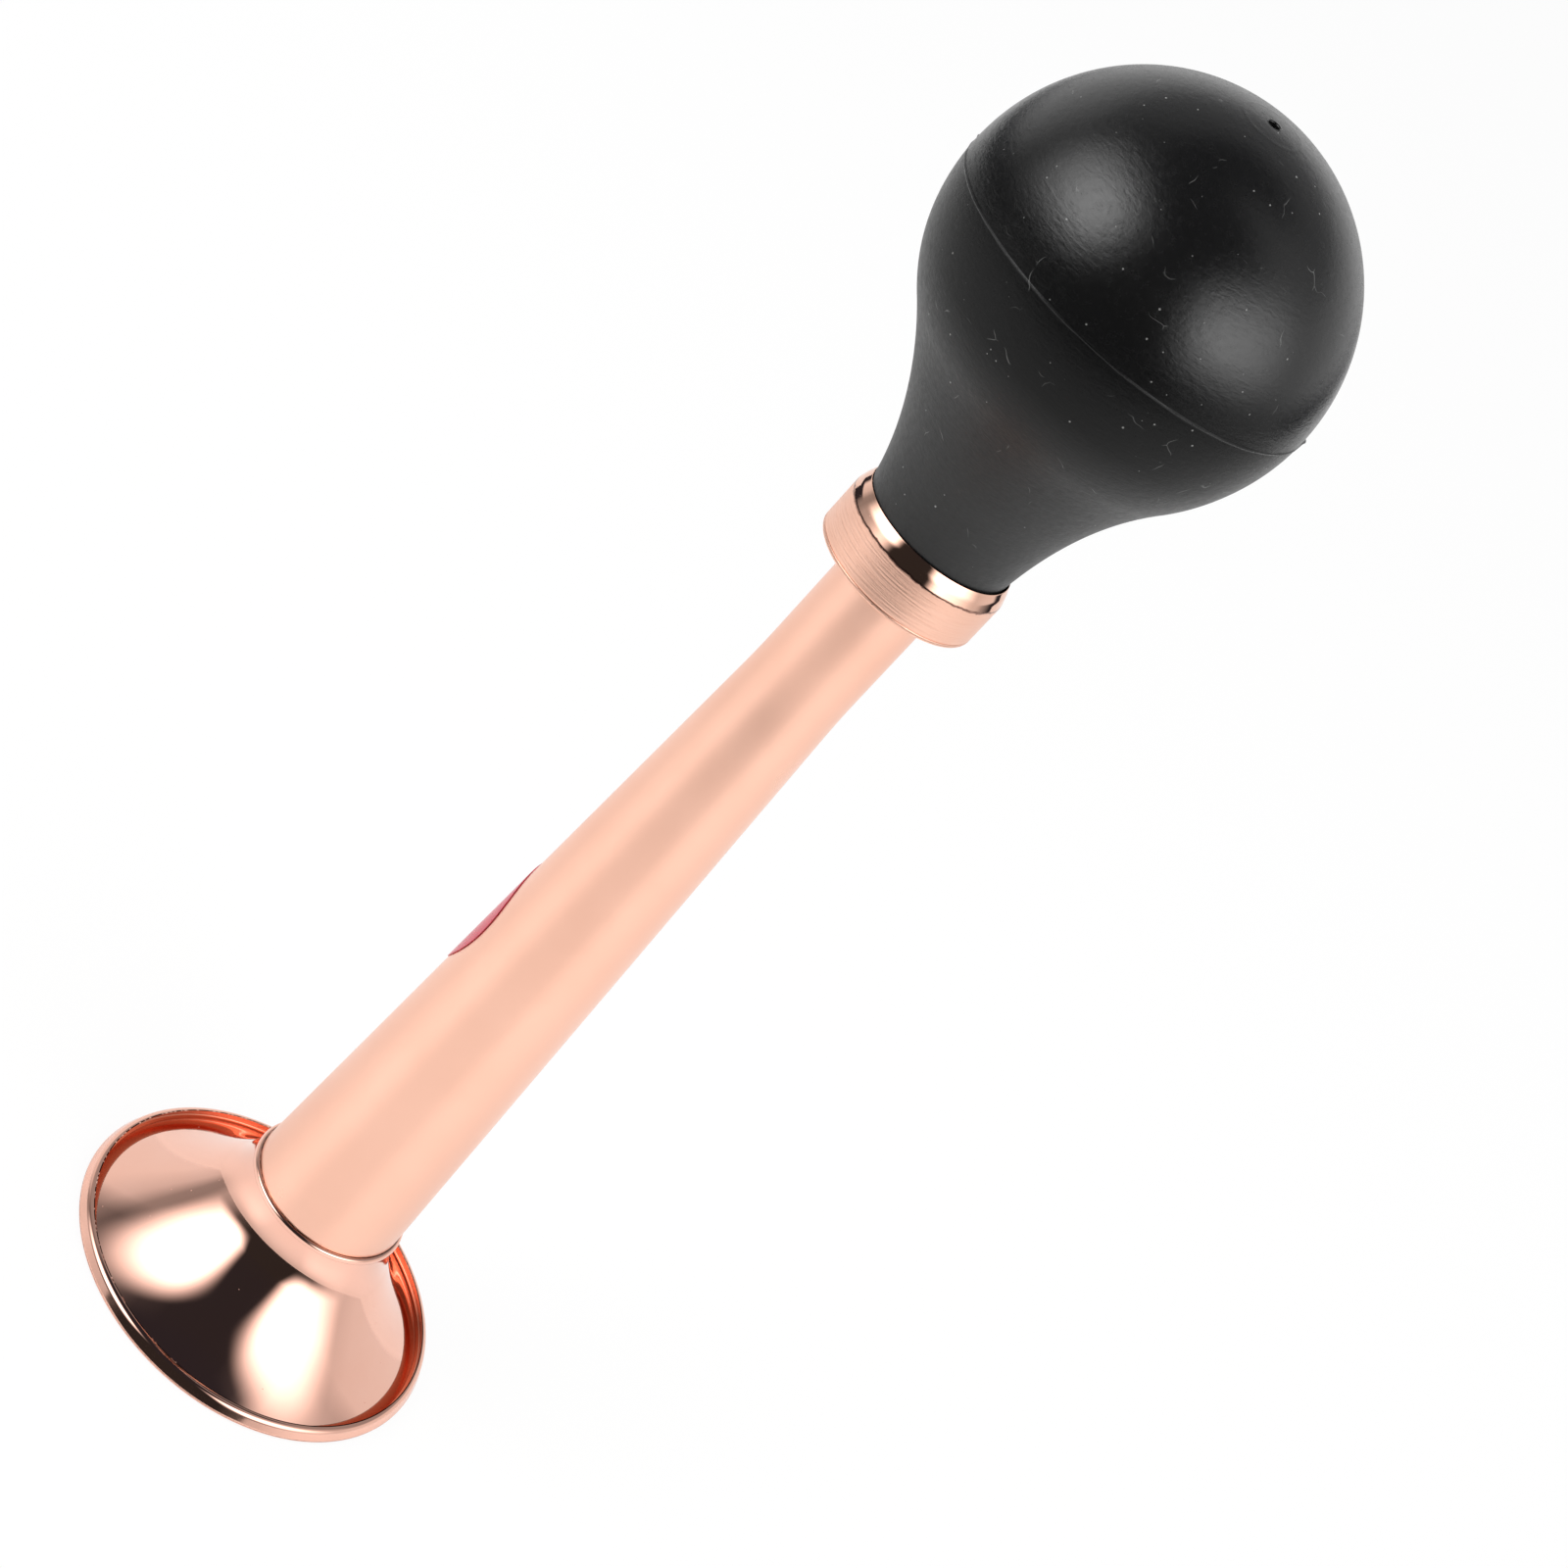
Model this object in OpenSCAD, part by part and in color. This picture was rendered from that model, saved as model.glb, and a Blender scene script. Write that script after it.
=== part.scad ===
// Bulb horn: a spun bell on a tapered tube, blown by a rubber bulb through a beating reed.
// It stands on the rim of its bell. +Z runs along the horn from the mouth to the crown of the bulb,
// and the origin is the middle of the mouth. All sizes are in millimetres.

/* [Bell] */
// Outside diameter of the rim
bell_d = 63.2; // [58:0.1:76]
// Height from the mouth to the top edge of the neck
bell_h = 22.6; // [20:0.1:30]
// Height of the neck that the tube stands in, above the line of the flare
neck_h = 4.7; // [4:0.1:8]
// Thickness of the bell's sheet
bell_wall = 0.55; // [0.4:0.05:0.8]
// How far the side of the flare is hollowed from a straight cone
flare_hollow = 1.4; // [0.8:0.1:2]
// Height of the turned-up rim
rim_h = 2.4; // [2.2:0.1:3.5]
// Width of the rim from the groove behind it to its outside
rim_w = 1.7; // [1.5:0.1:2.4]
// Width of the rim's top edge
lip_w = 0.85; // [0.85:0.05:1.2]
// Height of the groove behind the rim
groove_h = 0.6; // [0.6:0.05:0.9]
// Width of the flat ring that the bell stands on
foot_w = 1.3; // [0.8:0.1:1.6]

/* [Tube] */
// Length of the tube between the bell's neck and the collar
tube_len = 141.4; // [100:0.1:180]
// Length of the straight end below the collar, above the taper
straight_len = 21.9; // [12:0.1:40]
// Outside diameter where the tube leaves the bell's neck
tube_foot_d = 25.8; // [22:0.1:30]
// Outside diameter of the straight end
tube_top_d = 15; // [13:0.1:16]
// Thickness of the tube's sheet
tube_wall = 0.6; // [0.4:0.05:0.9]

/* [Collar] */
// Height of the collar with its base plate
collar_h = 9.6; // [8:0.1:14]
// Thickness of the collar's sheet
collar_wall = 0.55; // [0.4:0.05:0.6]
// Height of the drawn-in shoulder
shoulder_h = 2.6; // [1.8:0.1:3.4]
// How far the shoulder is drawn in towards the bulb's neck
shoulder_w = 1.1; // [0.9:0.05:1.6]
// Thickness of the base plate's edge
plate_t = 0.65; // [0.5:0.05:1]
// Height of the base plate's boss inside the collar
boss_h = 1; // [0.6:0.1:1.6]

/* [Bulb] */
// Diameter of the ball
bulb_d = 57; // [50:0.5:66]
// Height from the collar's top edge to the middle of the ball
bulb_rise = 42.4; // [36:0.1:56]
// Diameter of the neck where it leaves the collar
bulb_neck_d = 23.4; // [22.4:0.1:26]
// Radius of the neck's hollow curve
neck_curve_r = 53.5; // [40:0.5:80]
// Thickness of the rubber
bulb_wall = 2.4; // [1.8:0.1:3]
// Diameter of the vent hole in the crown
vent_d = 1.7; // [1:0.1:3]
// Distance of the vent hole from the middle of the crown
vent_off = 3.3; // [0:0.1:4]
// Direction of the vent hole from the middle of the crown, in degrees from +X towards +Y
vent_turn = 242; // [0:1:359]
// Height of the mould's parting ridge
ridge_h = 0.3; // [0.1:0.05:0.6]
// Width of the parting ridge
ridge_w = 0.8; // [0.4:0.1:1.6]

/* [Reed] */
// Length of the block's plug inside the tube
plug_len = 9; // [6:0.5:14]
// Height of the block's head inside the bulb's neck
head_h = 7; // [5:0.5:10]
// Diameter of the shallot
shallot_d = 7.2; // [6:0.1:9]
// Thickness of the shallot's sheet
shallot_wall = 0.5; // [0.3:0.05:0.8]
// Distance of the shallot's open face from its axis
shallot_face = 0.5; // [0.2:0.1:1]
// Thickness of the cap that closes the shallot
cap_t = 0.8; // [0.5:0.1:1.5]
// Width of the reed tongue
tongue_w = 6.5; // [5:0.1:8]
// Thickness of the reed tongue
tongue_t = 0.3; // [0.15:0.05:0.5]
// Length of the tongue that beats
tongue_free = 21; // [16:0.5:28]
// Length of the tongue held by the wedge
tongue_root = 8; // [5:0.5:10]
// Opening between the tip of the tongue and the shallot
tongue_open = 1; // [0.5:0.1:1.6]

/* [Label] */
// Diameter of the round label
label_d = 27; // [18:0.5:30]
// Height of the label's middle above the mouth
label_z = 79.5; // [60:0.5:100]
// Direction that the label faces, in degrees from +X towards +Y
label_turn = 131; // [0:1:359]
// Thickness of the label
label_t = 0.15; // [0.1:0.05:0.3]

/* [Fits] */
// Clearance between metal pieces that are pressed together
fit_gap = 0.03; // [0.02:0.01:0.06]
// Clearance between the rubber and the pieces that hold it
rubber_gap = 0.15; // [0.1:0.05:0.25]
// Clearance on each side of the tongue's root
tongue_gap = 0.05; // [0.03:0.01:0.1]

/* [Hidden] */
$fn = 144;
arc_steps = 24;
corner_steps = 5;
label_steps = 36;

// Bell
bell_r = bell_d / 2;
tube_foot_r = tube_foot_d / 2;
bore_r = tube_foot_r - tube_wall;
socket_r = tube_foot_r + fit_gap;
neck_r = socket_r + bell_wall;
neck_z = bell_h - neck_h;
stop_z = neck_z + bell_wall;
// Bead round the neck's top edge
bead_h = 0.95;
bead_out = 0.12;
bead_round = 0.55;
bead_z = bell_h - bead_h;
// Inward lean and roundings of the turned-up rim
rim_lean = 0.75;
rim_round = 1.05;
lip_round = 0.08;
foot_round = 0.5;
foot_in_r = bell_r - foot_round - foot_w;
throat = [neck_r, neck_z];
groove = [bell_r - rim_w, groove_h];
flare_chord = groove - throat;
flare_r = (flare_chord * flare_chord / 4 + flare_hollow ^ 2) / (2 * flare_hollow);
flare_mid = (throat + groove) / 2
    + unit([-flare_chord[1], flare_chord[0]]) * (flare_r - flare_hollow);
// Share of the neck that curves out into the flare, and the arc that meets both
curve_share = 0.92;
neck_curve_z = neck_z + curve_share * (bead_z - neck_z);
neck_from_mid = [neck_r, neck_curve_z] - flare_mid;
neck_round = (flare_r ^ 2 - neck_from_mid * neck_from_mid) / (2 * (neck_from_mid[0] + flare_r));
neck_mid = [neck_r + neck_round, neck_curve_z];

// Tube and collar
tube_top_r = tube_top_d / 2;
tube_end_r = tube_top_r - tube_wall;
// Radius of the gentle bend between the taper and the straight end
taper_round = 180;
bulb_neck_r = bulb_neck_d / 2;
mouth_r = bulb_neck_r + rubber_gap;
collar_r = mouth_r + shoulder_w;
collar_in_r = collar_r - collar_wall;
collar_z = bell_h + tube_len;
taper_z = collar_z - straight_len;
collar_top = collar_z + collar_h;
shoulder_z = collar_top - shoulder_h;
seam_z = collar_z + plate_t;
boss_z = seam_z + boss_h;
// Broken edges where the collar meets its plate, and the plate's wider lower edge
edge_break = 0.12;
plate_break = 2 * edge_break;
// Width of the tube's end turned out over the plate
swage_w = 1;
swage_r = tube_top_r + swage_w;
swage_z = boss_z + tube_wall;
// Swell of the shoulder's slope, and the roundings below it and along it
shoulder_swell = 0.14;
shoulder_round = 1.2;
swell_round = 6;
shoulder_mid = [(collar_r + mouth_r) / 2, (shoulder_z + collar_top) / 2]
    + unit([shoulder_h, shoulder_w]) * shoulder_swell;

// Bulb
ball_r = bulb_d / 2;
ball_mid = [0, collar_top + bulb_rise];
neck_edge = [bulb_neck_r, collar_top];
curve_mid = outer_meeting(ball_mid, ball_r + neck_curve_r, neck_edge, neck_curve_r);
curve_turn = heading(curve_mid, neck_edge);
ball_turn = heading(ball_mid, curve_mid);
neck_bore_r = bulb_neck_r - bulb_wall;
vent_r = vent_d / 2;
ridge_turn = asin(ridge_w / 2 / ball_r);
// Foot of the bulb, trapped in the collar, and how far it stays below the shoulder
bulb_foot_r = collar_in_r - rubber_gap;
foot_drop = 0.5;

// Reed
plug_r = tube_end_r - fit_gap;
plug_z = swage_z - plug_len;
head_r = neck_bore_r - rubber_gap;
head_z = swage_z + head_h;
plug_round = 0.4;
head_round = 0.8;
shallot_r = shallot_d / 2;
// How far the shallot stands past the tongue's tip, and how far a cut runs past what it cuts
shallot_rise = 1.5;
shallot_top = head_z + tongue_free + shallot_rise;
cut_over = 1;
tongue_y = shallot_face + tongue_gap;
wedge_y = tongue_y + tongue_t + tongue_gap;

function unit(v) = v / norm(v);
function heading(from, to) = atan2(to[1] - from[1], to[0] - from[0]);

// The turn from one direction to another, the short way round
function short_turn(from, to) = let (d = to - from) d > 180 ? d - 360 : d < -180 ? d + 360 : d;

// Points along an arc, from one direction to another
function arc(mid, r, from, to, steps = arc_steps) =
    [for (i = [0 : steps]) let (a = from + (to - from) * i / steps) mid + r * [cos(a), sin(a)]];

// The point at two given distances from two others, on the side away from the axis
function outer_meeting(a, from_a, b, from_b) =
    let (d = norm(b - a),
         along = (d ^ 2 + from_a ^ 2 - from_b ^ 2) / (2 * d),
         aside = sqrt(from_a ^ 2 - along ^ 2),
         u = unit(b - a))
    a + u * along + [-u[1], u[0]] * aside;

// One corner of an outline, rounded to radius r
function corner(before, at, after, r) =
    let (u = unit(before - at),
         v = unit(after - at),
         half = acos(u * v) / 2,
         mid = at + unit(u + v) * r / sin(half),
         from = heading(mid, at + u * r / tan(half)),
         to = heading(mid, at + v * r / tan(half)))
    arc(mid, r, from, from + short_turn(from, to), corner_steps);

// A closed outline of [radius, height] or [radius, height, rounding] points
function outline(points) =
    let (n = len(points), at = [for (p = points) [p[0], p[1]]])
    [for (i = [0 : n - 1])
        each len(points[i]) == 3
            ? corner(at[(i + n - 1) % n], at[i], at[(i + 1) % n], points[i][2])
            : [at[i]]];

// Outside radius of the tube's taper at a height
function tube_r(z) = tube_foot_r + (tube_top_r - tube_foot_r) * (z - bell_h) / (taper_z - bell_h);

// A piece turned about the horn's axis
module turned(points) {
    rotate_extrude() polygon(outline(points));
}

// A plate of constant width across the horn, drawn as [depth, height] points
module across(width, points) {
    translate([-width / 2, 0, 0])
        rotate([90, 0, 90])
            linear_extrude(width) polygon(points);
}

// Spun bell: a neck that curves out into a hollowed flare, and a rim turned up and in over a groove
module bell() {
    throat_turn = heading(flare_mid, throat);
    meet_turn = heading(flare_mid, neck_mid);
    groove_turn = heading(flare_mid, groove);
    inside = arc(flare_mid, flare_r + bell_wall, groove_turn, throat_turn);
    throat_in = inside[arc_steps];
    neck_curve = arc(neck_mid, neck_round, 180, meet_turn + 360);
    color("#DE9F82") turned([
        [socket_r, bell_h],
        [neck_r + bead_out, bell_h, bead_round],
        [neck_r + bead_out, bead_z],
        [neck_r, bead_z],
        for (i = [0 : arc_steps - 1]) neck_curve[i],
        each arc(flare_mid, flare_r, meet_turn, groove_turn),
        [bell_r - lip_w, groove_h],
        [bell_r - rim_lean - lip_w, rim_h, lip_round],
        [bell_r - rim_lean, rim_h, rim_round],
        [bell_r, foot_round + edge_break],
        [bell_r, 0, foot_round],
        [foot_in_r, 0],
        each inside,
        [bore_r, throat_in[1] + throat_in[0] - bore_r],
        [bore_r, stop_z],
        [socket_r, stop_z]
    ]);
}

// Tapered tube: its foot stands in the bell's neck, and its straight end is swaged over the collar's plate
module horn_tube() {
    color("#F0BEA6") turned([
        [bore_r, stop_z],
        [tube_foot_r, stop_z],
        [tube_foot_r, bell_h],
        [tube_top_r, taper_z, taper_round],
        [tube_top_r, boss_z],
        [swage_r, boss_z],
        [swage_r, swage_z],
        [tube_end_r, swage_z],
        [tube_end_r, taper_z, taper_round],
        [bore_r, bell_h]
    ]);
}

// Base plate: its edge shows under the collar, and its boss centres the collar
module collar_plate() {
    hole_r = tube_top_r + fit_gap;
    boss_r = collar_in_r - fit_gap;
    color("#F3C3AA") turned([
        [hole_r, collar_z],
        [collar_r - plate_break, collar_z],
        [collar_r, collar_z + plate_break],
        [collar_r, seam_z - edge_break],
        [collar_r - edge_break, seam_z],
        [boss_r, seam_z],
        [boss_r, boss_z],
        [hole_r, boss_z]
    ]);
}

// Drawn collar: a straight side and a shoulder drawn in over the foot of the bulb
module collar() {
    color("#E8B79B") turned([
        [collar_in_r, seam_z],
        [collar_r - edge_break, seam_z],
        [collar_r, seam_z + edge_break],
        [collar_r, shoulder_z, shoulder_round],
        [shoulder_mid[0], shoulder_mid[1], swell_round],
        [mouth_r + edge_break, collar_top],
        [mouth_r, collar_top],
        [mouth_r, collar_top - collar_wall],
        [collar_in_r, shoulder_z]
    ]);
}

// Hollow rubber bulb: a ball, a hollow-curved neck and a foot held under the collar's shoulder
module rubber_bulb() {
    foot_z = boss_z + rubber_gap;
    color("#262626") difference() {
        turned([
            [bulb_foot_r, foot_z],
            [bulb_foot_r, shoulder_z - foot_drop],
            [bulb_neck_r, collar_top - collar_wall - foot_drop],
            each arc(curve_mid, neck_curve_r, curve_turn, ball_turn + 180),
            each arc(ball_mid, ball_r, ball_turn, -ridge_turn),
            ball_mid + [ball_r + ridge_h, 0],
            each arc(ball_mid, ball_r, ridge_turn, 90),
            each arc(ball_mid, ball_r - bulb_wall, 90, ball_turn),
            each arc(curve_mid, neck_curve_r + bulb_wall, ball_turn + 180, curve_turn),
            [neck_bore_r, collar_top - foot_drop],
            [neck_bore_r, foot_z]
        ]);
        rotate([0, 0, vent_turn])
            translate([vent_off, 0, ball_mid[1]])
                cylinder(h = ball_r + cut_over, r = vent_r);
    }
}

// Reed block: a plug in the end of the tube and a head that fills the bulb's neck
module reed_block() {
    seat_r = shallot_r + fit_gap;
    color("#D8CDB4") turned([
        [seat_r, plug_z],
        [plug_r, plug_z, plug_round],
        [plug_r, swage_z],
        [head_r, swage_z],
        [head_r, head_z, head_round],
        [seat_r, head_z]
    ]);
}

// Shallot: a half-round trough, open along its face and at its foot, closed by a cap
module shallot() {
    length = shallot_top - plug_z;
    color("#C9A24B") translate([0, 0, plug_z]) difference() {
        cylinder(h = length, r = shallot_r);
        translate([0, 0, -cut_over])
            cylinder(h = length - cap_t + cut_over, r = shallot_r - shallot_wall);
        translate([-shallot_d, shallot_face, -cut_over])
            cube([2 * shallot_d, shallot_d, length + 2 * cut_over]);
    }
}

// Reed tongue: its root lies flat on the shallot, and its free end stands a little open
module reed_tongue() {
    tip_z = head_z + tongue_free;
    color("#D4AF5A") across(tongue_w, [
        [tongue_y, head_z - tongue_root],
        [tongue_y, head_z],
        [tongue_y + tongue_open, tip_z],
        [tongue_y + tongue_open + tongue_t, tip_z],
        [tongue_y + tongue_t, head_z],
        [tongue_y + tongue_t, head_z - tongue_root]
    ]);
}

// Wedge: fills the bore beside the tongue's root
module reed_wedge() {
    color("#B98B55") intersection() {
        translate([0, 0, head_z - tongue_root])
            cylinder(h = tongue_root, r = shallot_r);
        translate([-shallot_d, wedge_y, head_z - tongue_root])
            cube([2 * shallot_d, shallot_d, tongue_root]);
    }
}

// Round label laid on the cone of the tube
module label() {
    half = label_d / 2;
    wrap_r = tube_r(label_z);
    low = label_z - half;
    high = label_z + half;
    inner = fit_gap;
    outer = fit_gap + label_t;
    disc = [for (i = [0 : label_steps - 1]) let (a = 360 * i / label_steps)
        [wrap_r * sin(half * cos(a) / wrap_r * 180 / PI), half * sin(a)]];
    color("#D9536B") intersection() {
        turned([
            [tube_r(low) + inner, low],
            [tube_r(low) + outer, low],
            [tube_r(high) + outer, high],
            [tube_r(high) + inner, high]
        ]);
        rotate([0, 0, label_turn])
            translate([0, 0, label_z])
                rotate([90, 0, 90])
                    linear_extrude(tube_foot_d) polygon(disc);
    }
}

bell();
horn_tube();
collar_plate();
collar();
rubber_bulb();
reed_block();
shallot();
reed_tongue();
reed_wedge();
label();
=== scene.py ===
import math

import bmesh
import bpy
import numpy as np
from mathutils import Matrix, Vector


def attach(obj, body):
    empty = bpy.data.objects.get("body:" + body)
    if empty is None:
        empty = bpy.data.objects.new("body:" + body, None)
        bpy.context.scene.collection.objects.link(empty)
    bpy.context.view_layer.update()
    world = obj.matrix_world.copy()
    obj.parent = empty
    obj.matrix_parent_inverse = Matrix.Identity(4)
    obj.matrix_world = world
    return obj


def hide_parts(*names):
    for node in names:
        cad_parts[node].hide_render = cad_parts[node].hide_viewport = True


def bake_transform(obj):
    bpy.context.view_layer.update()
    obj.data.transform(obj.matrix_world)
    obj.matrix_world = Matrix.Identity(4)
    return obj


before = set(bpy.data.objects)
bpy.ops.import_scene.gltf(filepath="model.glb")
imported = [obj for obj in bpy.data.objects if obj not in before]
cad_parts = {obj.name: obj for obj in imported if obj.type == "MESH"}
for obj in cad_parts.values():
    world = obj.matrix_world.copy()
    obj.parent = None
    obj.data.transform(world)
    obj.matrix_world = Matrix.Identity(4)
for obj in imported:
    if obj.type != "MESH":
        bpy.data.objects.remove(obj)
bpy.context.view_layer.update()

# Bulb horn standing on its bell: +Z runs from the mouth to the crown, and the photograph's camera is on the
# -Y side. Sizes are in millimetres, as in the part's source, and become metres where a mesh is made.
MM = 0.001
PHOTO_PX = 1600

# Bell
BELL_R, BELL_H, BELL_WALL = 31.6, 22.6, 0.55
NECK_Z, NECK_CURVE_Z, FLARE_HOLLOW = 17.9, 21.35, 1.4
GROOVE_R, GROOVE_Z, GROOVE_ROUND = 29.9, 0.6, 0.2
RIM_H, RIM_LEAN, RIM_ROUND, LIP_W = 2.4, 0.75, 1.05, 0.85
FOOT_IN_R, FOOT_ROUND, FOOT_SIDE_Z = 29.8, 0.45, 0.62
BEAD_H, BEAD_OUT, BEAD_ROUND = 0.95, 0.12, 0.55

# Tube
TUBE_FOOT_R, TUBE_TOP_R, TUBE_WALL = 12.9, 7.5, 0.6
TAPER_Z, TAPER_ROUND, FOOT_TURN_ROUND = 142.1, 180.0, 1.5
SWAGE_OUT = 1.0
PRESS_FIT = 0.03
SOCKET_R = TUBE_FOOT_R + PRESS_FIT
BORE_R = TUBE_FOOT_R - TUBE_WALL
NECK_R = SOCKET_R + BELL_WALL
STOP_Z = NECK_Z + BELL_WALL

# Collar and its plate
COLLAR_Z, SEAM_Z, BOSS_Z, SWAGE_Z = 164.0, 164.65, 165.65, 166.25
SHOULDER_Z, COLLAR_TOP = 171.0, 173.6
SHOULDER_SWELL, SWELL_ROUND, SHOULDER_ROUND = 0.14, 5.0, 1.2
COLLAR_R, COLLAR_IN_R, MOUTH_R, MOUTH_LAND = 12.95, 12.4, 11.85, 0.12

# Bulb
BALL_R, BALL_Z, BULB_WALL = 28.5, 216.0, 2.4
BULB_NECK_R, BULB_FOOT_R, BULB_FOOT_Z = 11.7, 12.25, 165.8
BULB_FOOT_TOP, BULB_NECK_FROM, BULB_BORE_TOP = SHOULDER_Z - 0.5, COLLAR_TOP - 1.05, COLLAR_TOP - 0.5
NECK_CURVE_R = 53.5
RIDGE_H, RIDGE_W = 0.13, 0.12
MOULD_RING_R, MOULD_RING_H, MOULD_RING_W = 4.4, 0.02, 0.25
# The vent and the ring round it are off the middle. The shift fades out past the ring over the last width.
VENT_R, VENT_ROUND, VENT_AT = 0.85, 0.2, (-1.55, -2.9)
VENT_SHIFT_R, VENT_SHIFT_W = MOULD_RING_R + 0.8, 12
# The rows of points are close together up to the first of these turns from the ridge, and past the second
RIDGE_TURN, CROWN_TURN = 0.02, 1.33
# Flash on the ridge, and its worn part in front: how far out, and width and place as turns about the axis
FLASH_H, FLASH_W, FLASH_AT = 0.35, 0.04, (0.06, math.pi - 0.1)
WEAR_H, WEAR_W, WEAR_AT = -0.1, 0.17, -math.pi / 2
# Waves that make the ridge uneven: how far out, waves in a turn, and start
RIDGE_WAVES = ((0.03, 7, 1.0), (0.03, 17, 0.0), (0.02, 41, 2.0))
# Flash, wear and waves reach this far above and below the ridge's middle
UNEVEN_UP = 1.3 * RIDGE_W
# The soft neck of the photographed bulb leans a little to the left above the collar
BULB_SWAY, SWAY_FROM_Z, SWAY_TO_Z = -2.15, 168.0, 207.0

# Label
LABEL_R, LABEL_Z, LABEL_TURN, LABEL_T = 13.5, 79.5, math.radians(131), 0.15
LABEL_OFF, LABEL_LIFT, LIFT_FROM, LIFT_TURN = 0.04, 0.4, 0.7, math.radians(205)

# Reed tongue
TONGUE_W, TONGUE_T, TONGUE_Y, TONGUE_OPEN = 6.5, 0.3, 0.55, 1.0
TONGUE_ROOT, TONGUE_FREE, BLOCK_TOP = 8.0, 21.0, 173.25

# Camera fitted to the outlines in the photograph
CAMERA_LENS_PX = 3353.6
CAMERA_AT = Vector((0.0, -407.76, 344.79)) * MM
CAMERA_TILT = math.radians(27.9)
CAMERA_ROLL = math.radians(42.74)
CAMERA_ASIDE_PX = 58.1
SENSOR_MM = 36.0

# Studio, in metres. Walls and card: degrees round from the front, and level. Ceiling: height from straight
# down at 0 to straight up at 1, and how dark it is.
ROOM_R = 20.0
TABLE_FRONT, TABLE_BACK, TABLE_SIDE = -0.42, 3.0, 0.75
# Shares of plain white in the table, to the camera and in copper
TABLE_WHITE, TABLE_WHITE_IN_COPPER = 0.9, 0.3
LAMPS_AIM = Vector((0, 0, 0.11))
WALLS = (
    (-180, 0.92), (-126, 0.9), (-114, 0.7), (-105, 0.32), (-98, 0.3), (-88, 0.46), (-78, 0.4), (-56, 0.1),
    (-34, 0.03), (32, 0.028), (55, 0.15), (75, 0.7), (88, 0.82), (100, 0.72), (114, 0.8), (180, 0.92))
CARD = ((-180, 1.0), (62, 1.0), (76, 0.4), (108, 0.4), (128, 1.0), (180, 1.0))
CEILING = ((0.0, 1.0), (0.47, 1.0), (0.49, 0.0), (0.71, 0.0), (0.775, 0.6), (0.92, 0.65), (0.95, 1.0))
DARK_ROOM = (0.026, 0.027, 0.035, 1)
WHITE = (1, 1, 1, 1)


def smooth_step(t):
    t = np.clip(t, 0.0, 1.0)
    return t * t * (3 - 2 * t)


def linear(code):
    """An sRGB hex colour as linear RGBA."""
    parts = [int(code[i:i + 2], 16) / 255 for i in (1, 3, 5)]
    return [c / 12.92 if c <= 0.04045 else ((c + 0.055) / 1.055) ** 2.4 for c in parts] + [1.0]


def per(mm):
    """Texture scale at which one cell of a pattern in Object coordinates is this many millimetres."""
    return 1 / (mm * MM)


def fill(tree, node, inputs):
    """Sets a node's inputs, given as values or as sockets to link."""
    for name, value in inputs.items():
        if isinstance(value, bpy.types.NodeSocket):
            tree.links.new(value, node.inputs[name])
        else:
            node.inputs[name].default_value = value


def add(tree, kind, inputs=None, **settings):
    """A node with its settings and inputs."""
    node = tree.nodes.new(kind)
    for name, value in settings.items():
        setattr(node, name, value)
    fill(tree, node, inputs or {})
    return node


def grey_stops(ramp, stops):
    """Gives a ramp grey stops of (position, level)."""
    while len(ramp.elements) < len(stops):
        ramp.elements.new(0.5)
    for element, (position, level) in zip(ramp.elements, stops):
        element.position = position
        element.color = (level, level, level, 1)


# Profiles

def unit(v):
    return v / np.linalg.norm(v)


def heading(a, b):
    return math.atan2(b[1] - a[1], b[0] - a[0])


def arc(mid, r, start, end, steps):
    turn = np.linspace(start, end, steps + 1)
    return [np.array((mid[0] + r * math.cos(t), mid[1] + r * math.sin(t))) for t in turn]


def outline(points, steps=6, hold=0.12):
    """A closed outline of (radius, height) or (radius, height, rounding) points.

    A rounded corner gets its arc and a point close to each end of it, to keep smooth shading in the corner.
    """
    at = [np.array(p[:2], float) for p in points]
    line = []
    for i, p in enumerate(points):
        if len(p) == 2:
            line.append(at[i])
            continue
        r = p[2]
        u, v = unit(at[i - 1] - at[i]), unit(at[(i + 1) % len(at)] - at[i])
        half = math.acos(np.clip(u @ v, -1, 1)) / 2
        reach = r / math.tan(half)
        mid = at[i] + unit(u + v) * r / math.sin(half)
        start, end = heading(mid, at[i] + u * reach), heading(mid, at[i] + v * reach)
        turn = (end - start + math.pi) % math.tau - math.pi
        away = reach + min(hold, r)
        line.append(at[i] + u * away)
        line += arc(mid, r, start, start + turn, steps)
        line.append(at[i] + v * away)
    return line + [line[0]]


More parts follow.
